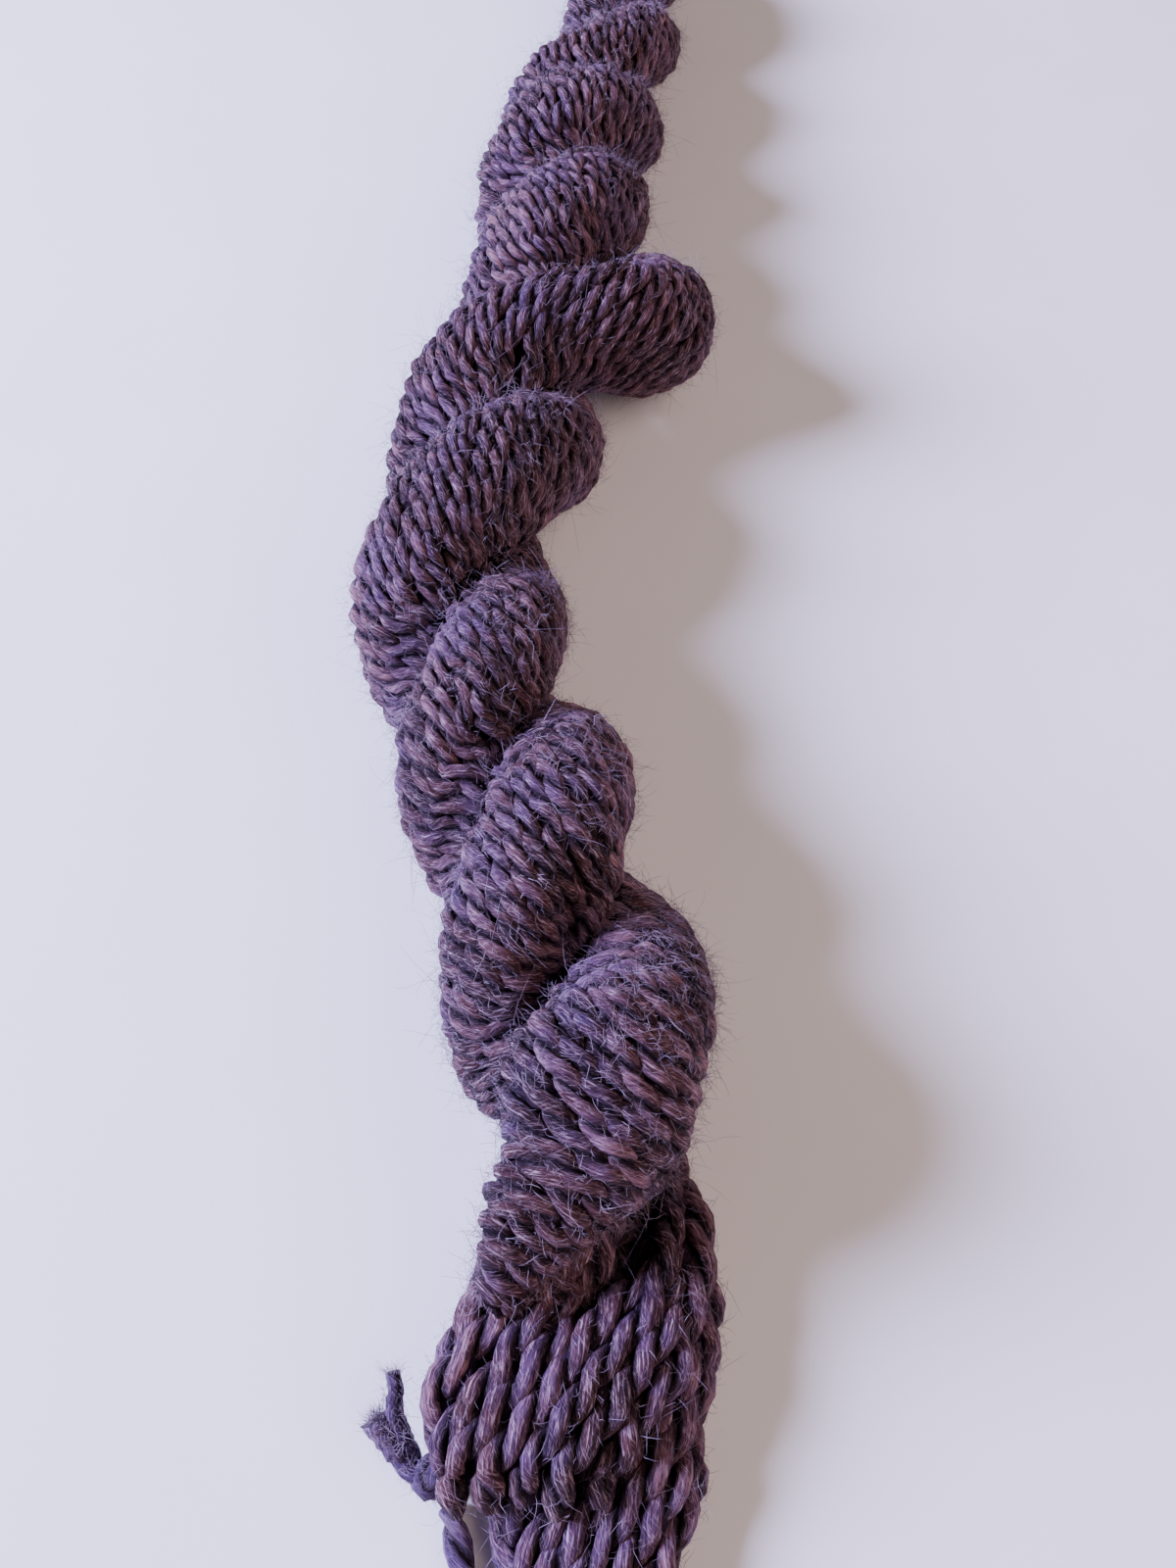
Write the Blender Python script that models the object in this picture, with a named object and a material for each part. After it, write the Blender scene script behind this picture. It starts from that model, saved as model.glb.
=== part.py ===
"""Twisted hank of two-ply wool yarn, lying on a table with its open end nearest.

A skein is one flat bundle of yarn. Twisted up, folded in half and let go, it
winds back on itself into a rope whose two runs are the two halves of the
bundle. At the open end one loop of the bundle lies over the other like a hood,
and the lower loop comes out from under it and spreads into two groups of yarn.

+Y runs along the hank from the open end to the fold and +Z is up, in metres.
The tables are in millimetres, as measured on the table top.
"""

import bpy
import numpy as np


def table(columns, *rows):
    """The rows as one array for each named column."""
    return dict(zip(columns.split(), np.array(rows).T))


MM = 0.001
YARN = 3.2              # thickness of the yarn
SEGMENTS = 26           # points around a run of the bundle
STEP = 3.6              # length of the rope between two rings of points
MIDDLE = (-5.0, 141.5)  # middle of the outline, which becomes the origin

# The rope's axis, one row for each half turn from the open end to the fold.
ROPE = table(
    "along half_turns side height size",
    (24.0, 7.5, 1.0, 14.5, 1.00),
    (37.0, 7.5, 1.0, 14.5, 1.00),
    (50.0, 7.0, -1.3, 14.5, 0.98),
    (79.5, 6.0, -9.8, 14.3, 0.92),
    (91.0, 5.5, -13.2, 14.0, 0.88),
    (103.6, 5.0, -17.4, 14.0, 0.92),
    (121.0, 4.5, -17.0, 14.3, 0.97),
    (139.1, 4.0, -14.0, 14.5, 1.00),
    (167.9, 3.0, -5.6, 14.5, 0.97),
    (196.2, 2.0, -4.6, 14.2, 0.96),
    (222.4, 1.0, -0.6, 14.0, 0.93),
    (237.0, 0.5, 4.6, 13.0, 0.74),
    (251.5, 0.0, 6.0, 12.2, 0.75),
    (272.0, -0.7, 9.0, 12.0, 0.77),
    (286.0, -1.0, 10.0, 12.0, 0.80),
)
FOLD = 284.0            # where the two runs stop turning and join in the fold
FOLD_INSIDE = 0.6       # radius of the bend on the inside of the fold

# One run of the bundle, cut square across a rope of SIZE 1.
OFFSET = 7.3            # from the rope's axis to the widest part of the run
OUTWARD = 9.0           # from there to the outside of the rope
INWARD = 8.6            # from there to the flat, pressed into the other run
HALF_WIDE = 11.0        # to each side
FLATNESS = 2.4          # how square the flat side's corners are

# The loop of the upper run that has slipped out to the right.
SLIP_ALONG = 173.0
SLIP_OUT = 8.0
SLIP_LENGTH = 17.0
SLIP_LOOSER = 0.18      # how much thicker the loop is than the rest

# The open end: the box around each section, one row for each place along.
HOOD = table(
    "along left right bottom top",
    (16.5, -12.8, -7.6, 9.2, 13.4),
    (20.0, -12.2, -3.6, 10.6, 19.0),
    (24.3, -11.2, 2.5, 11.6, 24.0),
    (28.0, -10.2, 7.2, 11.8, 26.3),
    (32.0, -9.2, 10.2, 12.0, 27.8),
    (40.0, -10.2, 12.6, 12.2, 30.0),
    (50.0, -10.2, 12.6, 12.2, 30.0),
)
FAN = table(
    "along left right bottom top",
    (-10.0, -8.0, 8.6, -1.2, 6.5),
    (-5.0, -9.6, 10.4, -1.2, 7.5),
    (0.0, -10.2, 12.4, -1.2, 8.5),
    (3.7, -10.6, 12.2, -1.2, 9.3),
    (8.0, -12.0, 13.4, -1.2, 10.5),
    (14.0, -13.0, 14.5, -1.2, 11.6),
    (20.0, -12.6, 14.5, -1.2, 12.5),
    (26.0, -11.0, 13.9, -1.2, 13.2),
    (32.0, -9.0, 12.3, -1.2, 13.7),
    (40.0, -9.0, 11.6, -1.2, 14.0),
    (50.0, -9.0, 11.6, -1.2, 14.0),
)
LEFT_GROUP = table(
    "along left right bottom top",
    (1.5, -15.6, 1.5, 5.6, 12.2),
    (4.0, -16.6, 5.2, 5.2, 13.2),
    (7.1, -16.9, 8.2, 4.6, 13.7),
    (10.8, -16.2, 10.2, 4.3, 13.6),
    (14.6, -14.8, 11.2, 4.0, 12.9),
    (22.0, -10.6, 10.6, 3.5, 11.4),
)
END_FROM, END_TO = 32.0, 46.0   # the tables above give way to the rope here

# The tie: a length of the same yarn, from inside the end loop to its cut end.
TIE = table(
    "along side height thick",
    (5.2, -12.7, 1.8, 2.4),
    (3.2, -13.2, 2.0, 3.0),
    (1.3, -14.7, 2.6, 4.4),
    (1.4, -16.8, 3.3, 4.0),
    (3.4, -18.7, 4.4, 3.0),
    (6.0, -20.0, 6.0, 3.2),
    (8.6, -20.3, 7.6, 2.8),
    (10.4, -20.2, 8.8, 2.0),
)

# The tie's long end, loose on the table from the knot to its cut.
LONG_END = table(
    "along side height thick",
    (-1.5, -14.5, 1.7, YARN),
    (-7.0, -12.7, 1.7, YARN),
    (-14.0, -9.4, 1.7, YARN),
    (-22.0, -7.2, 1.7, YARN),
    (-30.0, -7.6, 1.7, YARN),
    (-35.0, -8.8, 1.7, YARN),
)


def curve_through(places, values, at):
    """The value at each spot AT of a smooth curve through the values at the places."""
    slope = np.gradient(values, places)
    at = np.clip(at, places[0], places[-1])
    row = np.clip(np.searchsorted(places, at) - 1, 0, len(places) - 2)
    gap = places[row + 1] - places[row]
    part = (at - places[row]) / gap
    start = (1 + 2 * part) * (1 - part) ** 2 * values[row]
    start = start + part * (1 - part) ** 2 * gap * slope[row]
    end = part**2 * (3 - 2 * part) * values[row + 1]
    end = end - part**2 * (1 - part) * gap * slope[row + 1]
    return start + end


def smooth(rows, column, along):
    """A column's value at each place along the hank, smooth between the rows."""
    return curve_through(rows["along"], rows[column], along)


def power(wave, exponent):
    """The wave with its shoulders filled out or drawn in, its sign kept."""
    return np.sign(wave) * np.abs(wave) ** exponent


def spots(run):
    """The angle of each point of a ring from straight out, the same all along a run.

    Run 0 goes the other way round, because the fold turns it over.
    """
    angle = np.arange(SEGMENTS) * 2 * np.pi / SEGMENTS
    return angle if run == 1 else -angle


def turned(along, run):
    """The way a run lies from the rope's axis, as an angle from the right over the top."""
    return np.pi * (smooth(ROPE, "half_turns", along) + run)


def section(angle, size):
    """A run cut square across: round outside and flat where the runs meet.

    Gives each point's distance out from the rope's axis and to the side, for its
    angle from straight out.
    """
    out = np.cos(angle)
    flat = 1 - (1 - np.abs(out)) ** FLATNESS
    reach = np.where(out >= 0, OUTWARD * out, -INWARD * flat)
    return size * (OFFSET + reach), size * HALF_WIDE * np.sin(angle)


def rope_ring(along, run):
    """One ring of a run in the rope. Run 0 ends in the fan, run 1 in the hood."""
    size = smooth(ROPE, "size", along)
    lean = smooth(ROPE, "side", along + 1) - smooth(ROPE, "side", along - 1)
    forward = np.array([lean / 2, 1.0, 0.0])
    forward = forward / np.linalg.norm(forward)
    right = np.array([forward[1], -forward[0], 0.0])
    up = np.array([0.0, 0.0, 1.0])
    turn = turned(along, run)
    outward = np.cos(turn) * right + np.sin(turn) * up
    sideways = np.cos(turn) * up - np.sin(turn) * right
    axis = np.array([smooth(ROPE, "side", along), along, smooth(ROPE, "height", along)])
    slip = run * np.exp(-(((along - SLIP_ALONG) / SLIP_LENGTH) ** 4))
    out, side = section(spots(run), size * (1 + SLIP_LOOSER * slip))
    axis = axis + slip * SLIP_OUT * right
    return axis + out[:, None] * outward + side[:, None] * sideways


def box_ring(rows, along, run):
    """One ring that fills the box of a table, its points where those of a run are."""
    names = ("left", "right", "bottom", "top")
    left, right, bottom, top = (smooth(rows, name, along) for name in names)
    bearing = spots(run) + turned(along, run)
    across = power(np.cos(bearing), 0.85)
    upward = power(np.sin(bearing), 0.8)
    x = (left + right) / 2 + (right - left) / 2 * across
    z = (bottom + top) / 2 + (top - bottom) / 2 * upward
    return np.column_stack((x, np.full(SEGMENTS, along), z))


def run_ring(along, run):
    """One ring of a run: of the rope, or near the open end of the table."""
    share = np.clip((along - END_FROM) / (END_TO - END_FROM), 0, 1)
    share = share * share * (3 - 2 * share)
    rows = HOOD if run == 1 else FAN
    if share == 0:
        return box_ring(rows, along, run)
    if share == 1:
        return rope_ring(along, run)
    return share * rope_ring(along, run) + (1 - share) * box_ring(rows, along, run)


def fold_rings():
    """The rings that carry run 1 round the far end of the rope into run 0."""
    size = smooth(ROPE, "size", FOLD)
    axis = np.array([smooth(ROPE, "side", FOLD), FOLD, smooth(ROPE, "height", FOLD)])
    out, side = section(spots(1), size)
    out = np.maximum(out, FOLD_INSIDE)
    up = np.array([0.0, 0.0, 1.0])
    rings = []
    for turn in np.linspace(0, np.pi, 13)[1:-1]:
        outward = np.array([np.cos(turn), np.sin(turn), 0.0])
        rings.append(axis + out[:, None] * outward + side[:, None] * up)
    return rings


def rounded(ring, reach):
    """Rings that close a run's end with a round nose, reach long, outermost first."""
    centre = ring.mean(axis=0)
    rings = []
    for angle in np.radians((75, 52, 28)):
        nose = centre + (ring - centre) * np.cos(angle)
        nose[:, 1] += reach * np.sin(angle)
        rings.append(nose)
    return rings


def rest(rings):
    """The rings pressed flat where they lie on the table, about the origin."""
    points = np.array(rings)
    points[..., 2] = np.maximum(points[..., 2], 0)
    return points - (*MIDDLE, 0)


def loft(name, rings):
    """A closed solid through the rings, each end closed to its middle point."""
    count, segments, _ = rings.shape
    caps = rings[[0, -1]].mean(axis=1)
    points = np.concatenate((rings.reshape(-1, 3), caps)) * MM
    ring, spot = np.meshgrid(np.arange(count - 1), np.arange(segments), indexing="ij")
    here = (ring * segments + spot).ravel()
    beside = (ring * segments + (spot + 1) % segments).ravel()
    sides = np.column_stack((here, beside, beside + segments, here + segments))
    spot = np.arange(segments)
    last = (count - 1) * segments
    start = np.column_stack((spot, np.full(segments, count * segments), (spot + 1) % segments))
    end = np.column_stack(
        (last + spot, last + (spot + 1) % segments, np.full(segments, count * segments + 1))
    )
    mesh = bpy.data.meshes.new(name)
    mesh.from_pydata(points.tolist(), [], sides.tolist() + start.tolist() + end.tolist())
    mesh.validate()
    return mesh


def add(mesh, collection, material=None):
    """An object that shows the mesh, shaded smooth, in a collection."""
    obj = bpy.data.objects.new(mesh.name, mesh)
    collection.objects.link(obj)
    mesh.shade_smooth()
    if material:
        mesh.materials.append(material)
    return obj


def outward_facing(mesh):
    """Turns the mesh's faces round if they face inwards."""
    points = np.empty(len(mesh.vertices) * 3)
    mesh.vertices.foreach_get("co", points)
    points = points.reshape(-1, 3)
    mesh.calc_loop_triangles()
    faces = np.empty(len(mesh.loop_triangles) * 3, np.int32)
    mesh.loop_triangles.foreach_get("vertices", faces)
    if np.linalg.det(points[faces.reshape(-1, 3)]).sum() < 0:
        mesh.flip_normals()


def wool(name, colour):
    """Dyed wool: rough, with the soft sheen of its fibres at the edges."""
    material = bpy.data.materials.new(name)
    material.use_nodes = True
    shader = material.node_tree.nodes["Principled BSDF"]
    shader.inputs["Base Color"].default_value = (*colour, 1.0)
    shader.inputs["Roughness"].default_value = 0.85
    shader.inputs["Sheen Weight"].default_value = 0.4
    material.diffuse_color = (*colour, 1.0)
    return material


def build_hank(collection, cutters):
    """The folded bundle as one solid, with its left group of yarn joined on."""
    start, end = HOOD["along"][0], FAN["along"][0]
    count = round((FOLD - start) / STEP)
    hood = [run_ring(along, 1) for along in np.linspace(start, FOLD, count)]
    count = round((FOLD - end) / STEP)
    fan = [run_ring(along, 0) for along in np.linspace(FOLD, end, count)]
    rings = rounded(hood[0], -2.5) + hood + fold_rings() + fan
    rings = rings + rounded(fan[-1], -4.0)[::-1]
    hank = loft("hank", rest(rings))
    outward_facing(hank)
    hank = add(hank, collection, wool("dyed wool", (0.105, 0.068, 0.155)))

    start, end = LEFT_GROUP["along"][[0, -1]]
    count = round((end - start) / STEP * 1.6)
    group = [box_ring(LEFT_GROUP, along, 1) for along in np.linspace(start, end, count)]
    group = rounded(group[0], -2.5) + group
    group = loft("left_group", rest(group))
    outward_facing(group)
    group = add(group, cutters)
    group.hide_render = True
    group.display_type = "WIRE"
    join = hank.modifiers.new("left group", "BOOLEAN")
    join.operation = "UNION"
    join.solver = "EXACT"
    join.use_self = True
    join.object = group
    return hank


def tube(name, rows, count, collection, material):
    """A length of yarn through the rows, count points long, as one tube."""
    curve = bpy.data.curves.new(name, "CURVE")
    curve.dimensions = "3D"
    curve.bevel_depth = MM / 2
    curve.bevel_resolution = 3
    curve.use_fill_caps = True
    numbers = np.arange(len(rows["along"]))
    at = np.linspace(0, numbers[-1], count)
    x = curve_through(numbers, rows["side"], at) - MIDDLE[0]
    y = curve_through(numbers, rows["along"], at) - MIDDLE[1]
    z = curve_through(numbers, rows["height"], at)
    thick = curve_through(numbers, rows["thick"], at)
    spline = curve.splines.new("POLY")
    spline.points.add(count - 1)
    for point, *place, across in zip(spline.points, x, y, z, thick):
        point.co = (*(np.array(place) * MM), 1)
        point.radius = across
    obj = bpy.data.objects.new(name, curve)
    collection.objects.link(obj)
    curve.materials.append(material)
    return obj


def main():
    for obj in list(bpy.data.objects):
        bpy.data.objects.remove(obj)
    collection = bpy.data.collections.new("hank_of_yarn")
    bpy.context.scene.collection.children.link(collection)
    cutters = bpy.data.collections.new("joined")
    bpy.context.scene.collection.children.link(cutters)
    cutters.hide_render = True
    build_hank(collection, cutters)
    tie_wool = wool("tie wool", (0.120, 0.080, 0.150))
    tube("tie", TIE, 22, collection, tie_wool)
    tube("tie_long_end", LONG_END, 14, collection, tie_wool)


main()
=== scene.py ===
"""Twisted hank of two-ply wool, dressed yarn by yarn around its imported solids.

Every yarn that shows is two plies twisted round each other. The yarns wrap the
two runs of the rope, cross the hood at the open end and fan out below it in two
groups that turn under at their loops. Tables are in millimetres on the table top,
and MIDDLE is the point there that is the frame's origin.
"""

import bpy
import numpy as np
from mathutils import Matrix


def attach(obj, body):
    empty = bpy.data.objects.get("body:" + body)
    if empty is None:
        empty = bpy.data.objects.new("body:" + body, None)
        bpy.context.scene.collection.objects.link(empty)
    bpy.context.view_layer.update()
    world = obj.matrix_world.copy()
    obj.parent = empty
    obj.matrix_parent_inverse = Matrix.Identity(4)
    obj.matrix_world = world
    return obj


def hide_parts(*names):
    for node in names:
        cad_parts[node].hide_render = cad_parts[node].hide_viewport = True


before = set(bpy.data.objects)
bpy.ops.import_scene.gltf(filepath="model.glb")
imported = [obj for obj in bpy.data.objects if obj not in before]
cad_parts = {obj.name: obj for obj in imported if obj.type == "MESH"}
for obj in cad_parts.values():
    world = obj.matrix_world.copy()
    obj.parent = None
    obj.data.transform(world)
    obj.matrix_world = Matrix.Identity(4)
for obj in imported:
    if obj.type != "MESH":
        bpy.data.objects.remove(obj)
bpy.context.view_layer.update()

MM = 0.001
MIDDLE = np.array([-5.0, 141.5, 0.0])
UP = np.array([0.0, 0.0, 1.0])
rng = np.random.default_rng(7)


def table(columns, *rows):
    """The rows as one array for each named column."""
    return dict(zip(columns.split(), np.array(rows, float).T))


# ---------------- the wool
YARN = 3.2          # thickness of the yarn
PLY_TURN = 10.4     # length of yarn in which its plies turn once round each other
PLY_AWAY = 0.80     # from the yarn's middle to a ply's middle
PLY_WIDE = 0.98     # half the width of a ply
PLY_DEEP = 0.88     # half its depth, pressed against the other ply
SPACING = 2.95      # from one yarn to the next, pressed together
PRESSED = table(    # how much thinner the yarns are where they are packed together
    "along size",
    (20.0, 0.97),
    (45.0, 0.95),
    (65.0, 0.88),
    (140.0, 0.84),
    (284.0, 0.82),
)
CLOSER = table(     # and how much closer at the hood's right side, from where they spread
    "along share",
    (22.0, 1.0),
    (32.0, 0.80),
    (50.0, 0.78),
    (60.0, 1.0),
)
LOOSE = 1.08        # and how thick they are in the open groups
GROUP_TURN = 8.4    # and PLY_TURN there
RING = 1.16         # length of ply between two rings of points
SIDES = 6
FIBRE = 0.050       # thickness of a stray fibre
WAVE = 0.16         # how far a yarn waves in and out
RISE, GROUP_RISE = 0.28, 0.30   # how far one stands out, at random, and in the groups
SWAY, GROUP_SWAY = 0.03, 0.02   # how far one waves aside, in radians, and in the groups

# ---------------- the rope
ROPE = table(
    "along half_turns side height size",
    (24.0, 7.5, 1.0, 14.5, 1.00),
    (37.0, 7.5, 1.0, 14.5, 1.00),
    (50.0, 7.0, -1.3, 14.5, 0.98),
    (79.5, 6.0, -9.8, 14.3, 0.92),
    (91.0, 5.5, -13.2, 14.0, 0.88),
    (103.6, 5.0, -17.4, 14.0, 0.92),
    (121.0, 4.5, -17.0, 14.3, 0.97),
    (139.1, 4.0, -14.0, 14.5, 1.00),
    (167.9, 3.0, -5.6, 14.5, 0.97),
    (196.2, 2.0, -4.6, 14.2, 0.96),
    (222.4, 1.0, -0.6, 14.0, 0.93),
    (237.0, 0.5, 4.6, 13.0, 0.74),
    (251.5, 0.0, 6.0, 12.2, 0.75),
    (272.0, -0.7, 9.0, 12.0, 0.77),
    (286.0, -1.0, 10.0, 12.0, 0.80),
)
FOLD = 284.0        # the runs join here, round a bend that is BEND long
BEND = 19.0
OFFSET = 7.3        # from the rope's axis to the middle of a run
OUTWARD = 9.0       # from there to the outside
INWARD = 8.1        # from there to where the runs meet
HALF_WIDE = 11.0
FLATNESS = 2.4      # how flat the runs are pressed where they meet
SLIP_ALONG, SLIP_OUT, SLIP_LENGTH, SLIP_LOOSER = 173.0, 8.0, 17.0, 0.18

# How far the yarns lean from the rope's line, in degrees to the left going up.
LEAN = table(
    "along lean",
    (40.0, 36.0),
    (50.0, 26.0),
    (62.0, 11.0),
    (79.5, 2.0),
    (103.6, 0.0),
    (139.1, 4.0),
    (168.0, 8.0),
    (200.0, 10.0),
    (290.0, 8.0),
)
# And how far they lean on the hood, from straight along the hank.
HOOD_LEAN = table(
    "along lean",
    (17.0, 52.0),
    (26.0, 46.0),
    (34.0, 35.0),
    (42.0, 26.0),
    (50.0, 21.0),
    (60.0, 20.0),
)
FAN_END = 2 * FOLD + BEND       # length of the whole folded bundle
HIDDEN = 166.0      # a yarn is laid this far round a run from its outside, in degrees
ALL_ROUND = 182.0   # and this far where the runs part near the open end

# ---------------- the open end
HOOD = table(
    "along left right bottom top",
    (16.5, -12.8, -7.6, 9.2, 13.4),
    (20.0, -12.2, -3.6, 10.6, 19.0),
    (24.3, -11.2, 2.5, 11.6, 24.0),
    (28.0, -10.2, 7.2, 11.8, 26.3),
    (32.0, -9.2, 10.2, 12.0, 27.8),
    (40.0, -10.2, 12.6, 12.2, 30.0),
    (50.0, -10.2, 12.6, 12.2, 30.0),
)
FAN = table(
    "along left right bottom top",
    (-10.0, -8.0, 8.6, -1.2, 6.5),
    (-5.0, -9.6, 10.4, -1.2, 7.5),
    (0.0, -10.2, 12.4, -1.2, 8.5),
    (3.7, -10.6, 12.2, -1.2, 9.3),
    (8.0, -12.0, 13.4, -1.2, 10.5),
    (14.0, -13.0, 14.5, -1.2, 11.6),
    (20.0, -12.6, 14.5, -1.2, 12.5),
    (26.0, -11.0, 13.9, -1.2, 13.2),
    (32.0, -9.0, 12.3, -1.2, 13.7),
    (40.0, -9.0, 11.6, -1.2, 14.0),
    (50.0, -9.0, 11.6, -1.2, 14.0),
)
LEFT_GROUP = table(
    "along left right bottom top",
    (1.5, -15.6, 1.5, 5.6, 12.2),
    (4.0, -16.6, 5.2, 5.2, 13.2),
    (7.1, -16.9, 8.2, 4.6, 13.7),
    (10.8, -16.2, 10.2, 4.3, 13.6),
    (14.6, -14.8, 11.2, 4.0, 12.9),
    (22.0, -10.6, 10.6, 3.5, 11.4),
)
# How far the yarns of the lower loop and of its left group lean to the right going up.
FAN_LEAN = table(
    "along lean",
    (-10.0, 41.0),
    (8.0, 39.0),
    (16.0, 28.0),
    (24.0, 10.0),
    (30.0, 1.0),
    (60.0, 1.0),
)
GROUP_LEAN = table(
    "along lean",
    (0.0, 42.0),
    (13.0, 43.0),
    (20.0, 55.0),
    (27.0, 60.0),
    (40.0, 60.0),
)
GROUP_SPACING = 2.55    # from one of these yarns to the next
# Dark channels: between the two groups under the hood's edge, and beside the left group.
HOOD_GAP = table(
    "along side wide depth",
    (14.0, -2.5, 1.5, 0.0),
    (16.5, -1.0, 2.0, 6.0),
    (20.6, 3.6, 2.4, 7.0),
    (26.8, 6.5, 3.2, 9.0),
    (32.0, 8.5, 3.4, 9.0),
)
CHANNEL = table(
    "along side wide depth",
    (-2.5, -4.5, 1.6, 0.0),
    (-0.8, -3.0, 1.8, 2.5),
    (3.6, 3.0, 1.8, 2.5),
    (8.8, 7.9, 1.8, 2.5),
    (14.3, 11.9, 1.8, 2.2),
    (17.0, 13.5, 1.8, 0.0),
)
# And the deep groove between the last two lobes of the rope.
GROOVE = table(
    "along side wide depth",
    (42.0, -6.0, 1.0, 0.0),
    (46.0, -5.0, 1.6, 4.0),
    (52.0, -3.4, 1.9, 6.0),
    (58.6, -1.9, 1.9, 6.0),
    (64.0, -0.8, 1.5, 0.0),
)
# The boxes above give way to the rope's two runs between these places.
END_FROM = (26.0, 30.0)
END_TO = (42.0, 52.0)
HOOD_NOSE = 15.7                # where the yarns of the hood end, tucked in
TUCK, TUCK_LENGTH = 1.6, 1.2    # how deep they are tucked, and over what length
SQUARE = 2.5                    # how square a box's corners are
DEEP = 2.7                      # how far the dark core lies below the surface

# The first and last places where a yarn crosses the bundle's outside, and the places
# where its stretches end: the hood, the near half and the far half of the upper run.
# The lower run has the same stretches, counted from the bundle's other end.
FIRST_YARN, LAST_YARN = 9.0, FAN_END - 38.0
HOOD_TO, NEAR_TO, FAR_TO = 60.0, 130.0, 225.0

# The tie's yarn, from inside the end loop through its knot to where its plies part.
TIE_YARN = table(
    "along side height",
    (5.6, -12.4, 1.7),
    (3.4, -13.4, 1.7),
    (1.2, -15.2, 1.7),
    (0.6, -16.6, 3.0),
    (1.6, -16.6, 4.9),
    (2.9, -15.0, 5.2),
    (2.9, -13.7, 3.9),
    (1.2, -14.2, 2.6),
    (0.6, -16.4, 2.6),
    (1.7, -18.0, 3.6),
    (3.2, -19.0, 4.6),
    (4.4, -19.6, 5.3),
)
# Its cut end: one ply stands up, the other is short, blunt and frayed.
UPRIGHT_PLY = table(
    "along side height",
    (3.4, -18.9, 4.6),
    (5.2, -19.5, 5.8),
    (7.2, -20.3, 7.2),
    (9.0, -20.1, 8.2),
    (10.8, -20.5, 9.0),
)
BLUNT_PLY = table(
    "along side height",
    (3.2, -19.3, 4.7),
    (4.4, -20.6, 5.4),
    (5.6, -21.6, 6.0),
    (6.6, -22.2, 6.4),
)
LONG_END = table(
    "along side height",
    (-1.5, -14.5, 1.7),
    (-7.0, -12.7, 1.7),
    (-14.0, -9.4, 1.7),
    (-22.0, -7.2, 1.7),
    (-30.0, -7.6, 1.7),
    (-35.0, -8.8, 1.7),
)


# ---------------- camera and lights
CAMERA_HEIGHT = 151.0   # straight above the tables' own zero
CAMERA_TILT = 30.0      # from straight down, in degrees
CAMERA_LENS = 28.125    # on a 36 mm sensor, 1250 pixels of an image 1600 pixels high


def stand_camera():
    """The photograph's view: above the open end, pitched 60 degrees down along the hank."""
    data = bpy.data.cameras.new("camera")
    data.lens = CAMERA_LENS
    data.clip_start = 0.01
    data.clip_end = 10.0
    camera = bpy.data.objects.new("camera", data)
    camera.location = (-MIDDLE[0] * MM, -MIDDLE[1] * MM, CAMERA_HEIGHT * MM)
    camera.rotation_euler = (np.radians(CAMERA_TILT), 0.0, 0.0)
    bpy.context.scene.collection.objects.link(camera)
    bpy.context.scene.camera = camera


def area_light(name, place, aim, width, power, colour):
    """A round soft light, turned to look from its place at the point aimed at.

    The turns are the arc cosine of the height of the unit vector back to the light, and
    a quarter turn past its bearing.
    """
    data = bpy.data.lights.new(name, "AREA")
    data.shape = "DISK"
    data.size = width
    data.energy = power
    data.color = linear(colour)[:3]
    light = bpy.data.objects.new(name, data)
    light.location = place
    away = np.array(place) - np.array(aim)
    away = away / np.linalg.norm(away)
    yaw = np.arctan2(away[1], away[0]) + np.pi / 2
    light.rotation_euler = (np.arccos(away[2]), 0.0, yaw)
    bpy.context.scene.collection.objects.link(light)


# ---------------- materials
def linear(hexadecimal):
    """An sRGB hex colour as linear red, green, blue and alpha."""
    srgb = np.array([int(hexadecimal[i : i + 2], 16) for i in (1, 3, 5)]) / 255
    low = srgb / 12.92
    high = ((srgb + 0.055) / 1.055) ** 2.4
    return (*np.where(srgb <= 0.04045, low, high).tolist(), 1.0)


def node(tree, kind, settings=None, stops=(), **links):
    """Adds a node with its settings, each input given a value or linked to a socket.

    An input's name has _ for a space, or is _ and its number. STOPS are those of a colour
    ramp, each a position and a hex colour.
    """
    made = tree.nodes.new(kind)
    for name, value in (settings or {}).items():
        setattr(made, name, value)
    for _ in stops[2:]:
        made.color_ramp.elements.new(0.5)
    for number, (position, colour) in enumerate(stops):
        made.color_ramp.elements[number].position = position
        made.color_ramp.elements[number].color = linear(colour)
    for name, value in links.items():
        key = int(name[1:]) if name[0] == "_" and name[1:].isdigit() else name.replace("_", " ")
        if isinstance(value, bpy.types.NodeSocket):
            tree.links.new(value, made.inputs[key])
        else:
            made.inputs[key].default_value = value
    return made


def turned(tree, colour, other, pattern, least, most, share):
    """The colour, mixed with another one where a pattern is strong.

    The other one's share rises evenly from none, where the pattern is LEAST, to SHARE,
    where it is MOST.
    """
    part = node(
        tree, "ShaderNodeMapRange", Value=pattern, From_Min=least, From_Max=most, To_Max=share
    )
    return node(
        tree, "ShaderNodeMix", {"data_type": "RGBA"},
        _0=part.outputs[0], _6=colour, _7=linear(other),
    ).outputs[2]


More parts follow.
